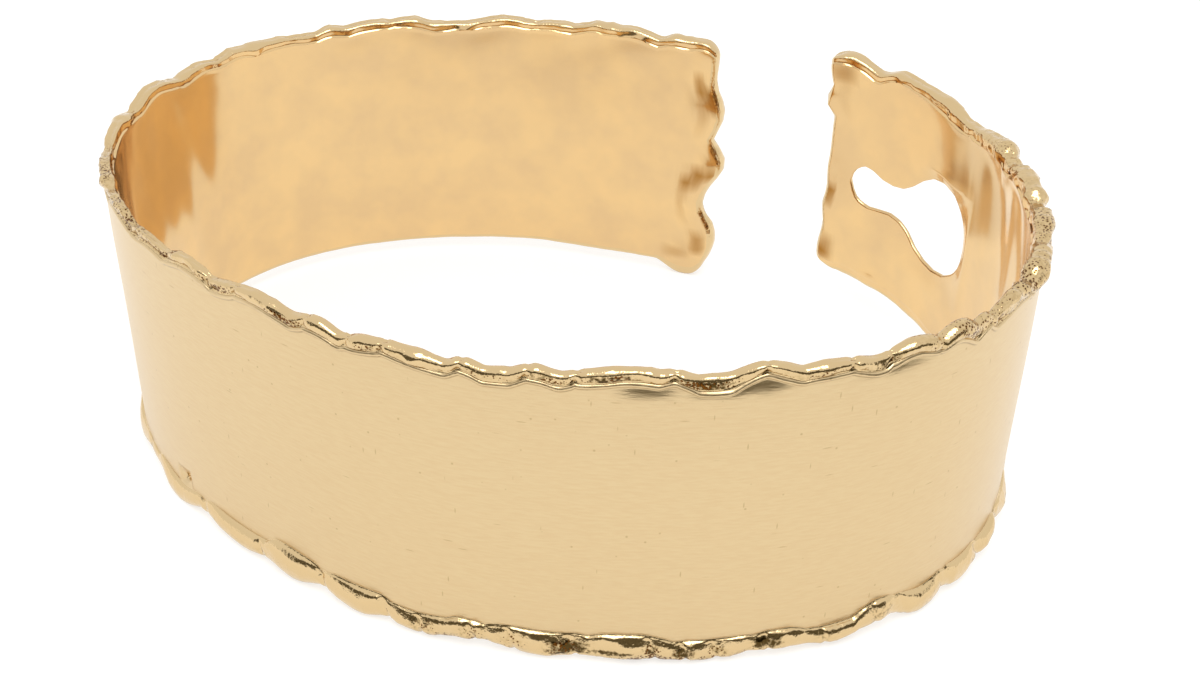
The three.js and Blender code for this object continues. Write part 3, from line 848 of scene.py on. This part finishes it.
# %% [markdown]
# ### Specks and nicks
# Wear adds specks and short nicks, all in the same brown. A cell pattern gives them: a small ball
# round each cell centre is a speck, and the same ball in squeezed and turned space is a nick. They
# are a little coarser than the real ones, which would be finer than a pixel.

# %% Specks and nicks
SPECK_APART_MM, SPECK_MM = 1.2, 0.085
SPECK_FAINT = 0.35


def specks(stretch, turn):
    """One inside a small ball round each cell centre, squeezed and turned, and zero outside."""
    squeezed = add_node(
        tree, "Mapping", {"Vector": place, "Rotation": turn, "Scale": stretch}
    )
    cells = add_node(
        tree, "TexVoronoi",
        {"Vector": squeezed.outputs["Vector"], "Scale": 1 / (SPECK_APART_MM * MM)},
    )
    return add_node(
        tree, "MapRange",
        {"Value": cells.outputs["Distance"], "From Min": SPECK_MM / SPECK_APART_MM,
         "From Max": 0.5 * SPECK_MM / SPECK_APART_MM},
    ).outputs["Result"]


marks = specks((1, 1, 1), (0, 0, 0))  # round ones, then two kinds of nicks
for stretch, turn in (((0.25, 0.25, 2.2), (0.1, 0.5, 0.2)), ((1.8, 1.8, 0.35), (0.5, 0.7, 0))):
    marks = add_node(
        tree, "Math", {0: marks, 1: specks(stretch, turn)}, operation="MAXIMUM"
    ).outputs[0]
faint = add_node(tree, "Math", {0: marks, 1: SPECK_FAINT}, operation="MULTIPLY")

# %% Colour of the satin outside
grain_there = add_node(
    tree, "MapRange",
    {"Value": scratches.outputs["Fac"], "From Min": 0.35, "From Max": 0.65},
)
# painted shade: a brown line at the foot of the collar
painted_crease_shade_there = add_node(tree, "Attribute", attribute_name="painted_crease_shade").outputs["Fac"]
paint(tree, shader, from_hex("#dac297"), [
    (grain_there.outputs["Result"], "#d7bd92"), (faint.outputs[0], "#8a6a35"),
    (painted_crease_shade_there, "#5c4a22"),
])

# %% [markdown]
# ### Polished inside
# The inside was polished, but by hand, so its shine is slightly cloudy: patches a few millimetres
# wide are a shade warmer than their neighbours. A soft noise moves the colour between two close
# tones. Its size is that of the real clouds.

# %% Polished yellow gold
# gives the eye a wavy mirror, in which gold sees gold and turns deeper in colour
tree, shader, place = gold("polished yellow gold", "#e2c08b", 0.13)
CLOUD_MM = 3.5
clouds = add_node(tree, "TexNoise", {"Vector": place, "Scale": 1 / (CLOUD_MM * MM), "Detail": 3.0})
cloudy = add_node(
    tree, "MapRange", {"Value": clouds.outputs["Fac"], "From Min": 0.35, "From Max": 0.65}
)
# painted shade in the folds of the two ends
painted_crease_shade_there = add_node(tree, "Attribute", attribute_name="painted_crease_shade").outputs["Fac"]
paint(tree, shader, from_hex("#e6c48e"), [
    (cloudy.outputs["Result"], "#dcbc8c"), (painted_crease_shade_there, "#a2702c"),
])

# %% [markdown]
# ### Where the rims are stained, and painted dark
# Burned borax and air left brown pits in the melted rims, and the low belt of each bead kept a dark
# olive film. Its patches are partly that real film and partly a painted reflection of dark things
# that the beads mirror. Both sit in patches, so two short tables say where, and how strongly.

# %% Stains and painted reflection of the two rims
# at and long as shares of the strip, low and high as shares of the bead's depth from its edge
upper_stains = columns("at long low high film pits", [
    (0.37, 0.06, -0.2, 1.0, 0.0, 0.7), (0.41, 0.05, -0.2, 1.0, 0.0, 0.85),
    (0.436, 0.03, 0.3, 0.95, 0.25, 1.0), (0.47, 0.03, 0.3, 0.95, 0.4, 1.0),
    (0.505, 0.02, 0.35, 1.0, 0.6, 1.0), (0.543, 0.022, 0.35, 0.95, 0.5, 0.8),
    (0.58, 0.025, 0.3, 0.8, 0.3, 0.5), (0.6, 0.02, 0.35, 0.95, 0.6, 0.9),
    (0.62, 0.022, 0.35, 0.95, 0.9, 1.0), (0.65, 0.026, 0.35, 0.95, 0.9, 1.0),
    (0.69, 0.04, 0.4, 0.95, 0.4, 0.6), (0.711, 0.014, 0.3, 0.95, 0.8, 0.6),
    (0.745, 0.06, 0.0, 1.0, 0.2, 0.75), (0.785, 0.07, -0.2, 1.0, 0.15, 0.75),
    (0.83, 0.08, -0.2, 1.0, 0.1, 0.65), (0.88, 0.08, -0.2, 1.0, 0.0, 0.4),
])
lower_stains = columns("at long low high film pits", [
    (0.4, 0.1, -0.2, 0.6, 0.0, 0.2), (0.47, 0.06, 0.1, 0.6, 0.1, 0.35),
    (0.555, 0.014, 0.3, 0.95, 0.5, 0.6), (0.57, 0.05, -0.2, 0.4, 0.0, 0.8),
    (0.573, 0.012, 0.3, 0.9, 0.5, 0.6), (0.588, 0.012, 0.4, 0.9, 0.3, 0.6),
    (0.608, 0.02, 0.25, 0.85, 1.0, 1.0), (0.623, 0.022, 0.3, 0.6, 1.0, 0.2),
    (0.637, 0.008, 0.3, 0.8, 0.8, 0.8), (0.648, 0.01, 0.3, 0.8, 1.0, 0.6),
    (0.65, 0.08, -0.2, 0.4, 0.0, 1.0), (0.66, 0.008, 0.3, 0.8, 0.6, 1.0),
    (0.6775, 0.014, 0.3, 0.9, 1.0, 0.6), (0.699, 0.01, 0.3, 0.9, 0.5, 0.3),
    (0.7, 0.05, -0.2, 0.35, 0.0, 0.7), (0.722, 0.014, 0.3, 0.9, 0.6, 0.2),
    (0.745, 0.012, 0.3, 0.8, 0.4, 0.2), (0.79, 0.03, 0.3, 0.8, 0.25, 0.3),
])

# %% [markdown]
# ### Film with painted reflection, and pits, as numbers on the mesh
# A painter would stain the rims with a brush. We store the same thing as one number per vertex, which
# moves with the mesh when a lump is changed, and which the material reads by its name.

# %% Film with painted reflection, and pits, on the mesh
def stain(stains, share, across, column):
    """Largest of: strength, times a hump along the rim, times a soft step in and out of a belt."""
    along = hump((share[:, None] - stains["at"]) / (0.5 * stains["long"]), 0.7)
    x = across[..., None]
    low, high = stains["low"], stains["high"]
    belt = plateau(x, low - 0.12, low + 0.12, high - 0.08, high + 0.02)
    return (stains[column] * along[:, None, :] * belt).max(-1)


low_half = net_z < (LOWER_LINE + UPPER_LINE) / 2
for column in ("film", "pits"):
    on_lower = stain(lower_stains, column_s / STRIP, across_bead, column)
    on_upper = stain(upper_stains, column_s / STRIP, across_bead, column)
    per_point = np.zeros(len(points), np.float32)
    on_skin = np.where(low_half, on_lower, on_upper)
    per_point[: net_z.size] = on_skin.ravel()
    if column == "pits":
        per_point[inner_id[~on_edge]] = on_skin[~on_edge]
    cuff_mesh.attributes.new(column, "FLOAT", "POINT").data.foreach_set("value", per_point)
    print("vertices with", column, int((per_point > 0.05).sum()))

# %% [markdown]
# ### Painted shade in creases
# A brown painted shade darkens the line where the collar meets the sheet, and the folds of the two
# ends. The line is a narrow bell curve across the foot of the collar. The folds are rows of a
# table again, on the inner face only.

# %% Painted shade under the collar and in the folds of the ends
# width in mm and darkness of the painted shade line at the foot of the collar
LINE_MM, LINE_DARK = 0.035, 0.75
# painted shade in folds of the inner face, as shares of the strip's length and width, like the dents
fold_shades = columns("at up long tall dark", [
    (0.008, 0.81, 0.0035, 0.06, 1.0), (0.004, 0.77, 0.0038, 0.065, 0.9),
    (0.0085, 0.72, 0.003, 0.11, 0.35), (0.0125, 0.375, 0.0045, 0.06, 0.9),
    (0.009, 0.415, 0.0045, 0.06, 1.0), (0.005, 0.445, 0.004, 0.05, 0.9),
    (0.013, 0.3, 0.003, 0.12, 0.3), (0.0075, 0.1, 0.0045, 0.06, 0.85),
    (0.016, 0.045, 0.008, 0.035, 0.4), (0.997, 0.45, 0.0055, 0.06, 1.0),
    (0.996, 0.19, 0.0055, 0.06, 1.0), (0.993, 0.97, 0.007, 0.05, 0.6),
])
net_up = (net_z - LOWER_LINE) / (UPPER_LINE - LOWER_LINE)
below_collar = upper_line[:, None] - net_z - top - COLLAR
uneven = 0.65 + 0.35 * ripple(net_s, 0, (5.9, 3.1), 21)
# painted shade along the foot of the collar, uneven along the strip
painted_crease_shade = LINE_DARK * np.exp(-((below_collar / LINE_MM) ** 2)) * uneven
per_point = np.zeros(len(points), np.float32)
per_point[: net_z.size] = painted_crease_shade.ravel()
# painted shade in the folds of the ends, on the inner face only
in_folds = hump((net_s[..., None] / STRIP - fold_shades["at"]) / fold_shades["long"], 1.0)
in_folds = in_folds * hump((net_up[..., None] - fold_shades["up"]) / fold_shades["tall"], 1.0)
per_point[inner_id[~on_edge]] = (fold_shades["dark"] * in_folds).max(-1)[~on_edge]
cuff_mesh.attributes.new("painted_crease_shade", "FLOAT", "POINT").data.foreach_set("value", per_point)
print("vertices with grime", int((per_point > 0.05).sum()))

# %% [markdown]
# ### Melted rims
# Where the metal flowed it is glossy, and where gas escaped it has small round pits. The pits are the
# hearts of small random cells. A pit is as large as the stored number allows, and a broad noise
# makes some groups larger. They are a little coarser than on the real cuff, to survive the render.

# %% Melted yellow gold and its pits
# gives the eye sharp sparkles on every lump, with brown pinpricks between them
PIT_MM, PATCH_MM, FLAKE_MM = 0.17, 1.6, 0.24
MELTED_GOLD = "#d9be90"
tree, shader, place = gold("melted yellow gold", MELTED_GOLD, 0.11)
cells = add_node(
    tree, "TexVoronoi", {"Vector": place, "Scale": 1 / (PIT_MM * MM), "Randomness": 1.0}
)
patches = add_node(tree, "TexNoise", {"Vector": place, "Scale": 1 / (PATCH_MM * MM), "Detail": 1.0})
size_of_pit = add_node(
    tree, "MapRange",
    {"Value": patches.outputs["Fac"], "From Min": 0.35, "From Max": 0.65,
     "To Min": 0.32, "To Max": 0.64},
)
pits_there = add_node(tree, "Attribute", attribute_name="pits").outputs["Fac"]
pit_radius = add_node(
    tree, "Math", {0: size_of_pit.outputs["Result"], 1: pits_there},
    operation="MULTIPLY",
)
pit = add_node(
    tree, "Math", {0: pit_radius.outputs[0], 1: cells.outputs["Distance"]},
    operation="SUBTRACT",
)
pit_shade = add_node(tree, "MapRange", {"Value": pit.outputs[0], "From Min": 0.0, "From Max": 0.08})

# %% [markdown]
# ### Film with painted reflection, and blush
# The film and its painted dark reflection break up into flakes at their edge. So a fine noise is
# added to the stored number before it is cut off. The same noise gives the pitted parts a faint
# duller blush.

# %% Film with painted reflection, and blush
flakes = add_node(tree, "TexNoise", {"Vector": place, "Scale": 1 / (FLAKE_MM * MM), "Detail": 3.0})
film_and_reflection_there = add_node(tree, "Attribute", attribute_name="film").outputs["Fac"]
film_and_reflection_edge = add_node(
    tree, "Math", {0: film_and_reflection_there, 1: 0.6, 2: flakes.outputs["Fac"]},
    operation="MULTIPLY_ADD",
)
film_and_reflection_shade = add_node(
    tree, "MapRange",
    {"Value": film_and_reflection_edge.outputs[0], "From Min": 0.82, "From Max": 1.08, "To Max": 0.95},
)
flecks = add_node(
    tree, "MapRange",
    {"Value": flakes.outputs["Fac"], "From Min": 0.42, "From Max": 0.62, "To Max": 0.5},
)
blush = add_node(
    tree, "Math", {0: flecks.outputs["Result"], 1: pits_there}, operation="MULTIPLY"
)

# %% Colour and relief of the melted rims
# the olive-black tone is partly real film and partly a painted dark reflection; the brown is the pits
paint(tree, shader, from_hex(MELTED_GOLD), [
    (blush.outputs[0], "#a98c56"), (film_and_reflection_shade.outputs["Result"], "#443310"),
    (pit_shade.outputs["Result"], "#6b4214"),
])
sunk = add_node(
    tree, "Bump",
    {"Height": pit_shade.outputs["Result"], "Strength": 0.8, "Distance": 0.05 * MM},
    invert=True,
)
grain = add_node(
    tree, "Bump",
    {"Height": flakes.outputs["Fac"], "Strength": 0.6, "Distance": 0.05 * MM,
     "Normal": sunk.outputs["Normal"]},
)
tree.links.new(grain.outputs["Normal"], shader.inputs["Normal"])
print("finishes:", [material.name for material in cuff_mesh.materials])

# %% [markdown]
# ## The table
# The photograph is a high-key one: white table, white tent, hardly a shadow. A sheet of acrylic lit
# from below does that in a studio. Ours glows a little by itself, so the cuff's shadow almost drowns.

# %% Floor
FLOOR = 1.5  # half side of the table, in metres
floor_mesh = bpy.data.meshes.new("white table")
floor_mesh.from_pydata(
    [(-FLOOR, -FLOOR, 0), (FLOOR, -FLOOR, 0), (FLOOR, FLOOR, 0), (-FLOOR, FLOOR, 0)],
    [],
    [(0, 1, 2, 3)],
)
floor = put("white_table", floor_mesh)

# %% White acrylic
# gives the eye an even white that hardly darkens towards the cuff
_, shader = surface(floor_mesh, "white acrylic light table", "#aaaaaa", 0.9)
shader.inputs["Emission Color"].default_value = from_hex("#fffefc")
shader.inputs["Emission Strength"].default_value = 0.65

# %% [markdown]
# ## The tent and the lamp
# Metal shows its surroundings, so the gold is only as bright as the white round it. The world stands
# for the tent. One soft lamp above the camera's side of the cuff adds the sheen of the satin front
# and the sparkle of the rims.

# %% World
SKY = 1.0
world = bpy.data.worlds.new("white tent")
bpy.context.scene.world = world
world.use_nodes = True
world.node_tree.nodes["Background"].inputs["Color"].default_value = from_hex("#ffffff")
world.node_tree.nodes["Background"].inputs["Strength"].default_value = SKY

# %% Overhead light
LIGHT_SIDE, LIGHT_BRIGHT = 0.2, 4.6  # side in metres, brightness of its face
LIGHT_PLACE, LIGHT_TURN = (0.06, -0.135, 0.35), (21, 0, 24)  # metres, degrees
light_data = bpy.data.lights.new("soft light overhead", "AREA")
light_data.size = LIGHT_SIDE
light_data.energy = math.pi * LIGHT_BRIGHT * LIGHT_SIDE**2
light = put("soft_light_overhead", light_data)
light.location = LIGHT_PLACE
light.rotation_euler = [math.radians(a) for a in LIGHT_TURN]

# %% [markdown]
# ## The dark front of the tent
# The tent is open towards the camera, so every bead shows one dim line there. A curved dark card
# stands in for that opening. Only reflections see it, so it neither shades the table nor hides the
# cuff.

# %% Dark card
CARD_FAR, CARD_LOW, CARD_HIGH = 75.0, 3.0, 40.0  # mm from the middle, and heights of its edges
CARD_MIDDLE, CARD_HALF, CARD_CORNERS = -66, 62, 49  # degrees from +X, and how many corners
turn = np.radians(np.linspace(CARD_MIDDLE - CARD_HALF, CARD_MIDDLE + CARD_HALF, CARD_CORNERS))
card_x, card_y = CARD_FAR * np.cos(turn), CARD_FAR * np.sin(turn)
low_edge = np.stack([card_x, card_y, np.full_like(turn, CARD_LOW)], 1)
high_edge = low_edge + [0, 0, CARD_HIGH - CARD_LOW]
k = np.arange(len(turn) - 1)
card_mesh = bpy.data.meshes.new("dark card")
card_mesh.from_pydata(
    (np.concatenate([low_edge, high_edge]) * MM).tolist(), [],
    np.stack([k, k + len(turn), k + 1 + len(turn), k + 1], 1).tolist(),
)
card = put("dark_card", card_mesh)
card.visible_camera = card.visible_diffuse = card.visible_shadow = False

# %% Dark felt
# gives the eye the thin dark lines that make the rims look like metal
surface(card_mesh, "dark felt", "#5d5745", 0.9)

# %% [markdown]
# ## The camera
# It stands to the front right and looks down on the cuff, close enough for the front of the oval to
# look clearly bigger than the back. The numbers were found by laying the outline over the photo.

# %% Camera
camera_data = bpy.data.cameras.new("camera")
camera_data.lens, camera_data.sensor_width = 45.29, 36.0
camera_data.shift_x, camera_data.shift_y = 0.02737, -0.03499
camera_data.clip_start = 0.01
camera = put("camera", camera_data)
camera.location = [c * MM for c in (34.893, -78.710, 61.079)]
camera.rotation_euler = [math.radians(a) for a in (59.0456, -0.8045, 24.1239)]
bpy.context.scene.camera = camera
bpy.context.scene.view_settings.view_transform = "Standard"
print("camera at, mm:", [round(c / MM, 1) for c in camera.location])
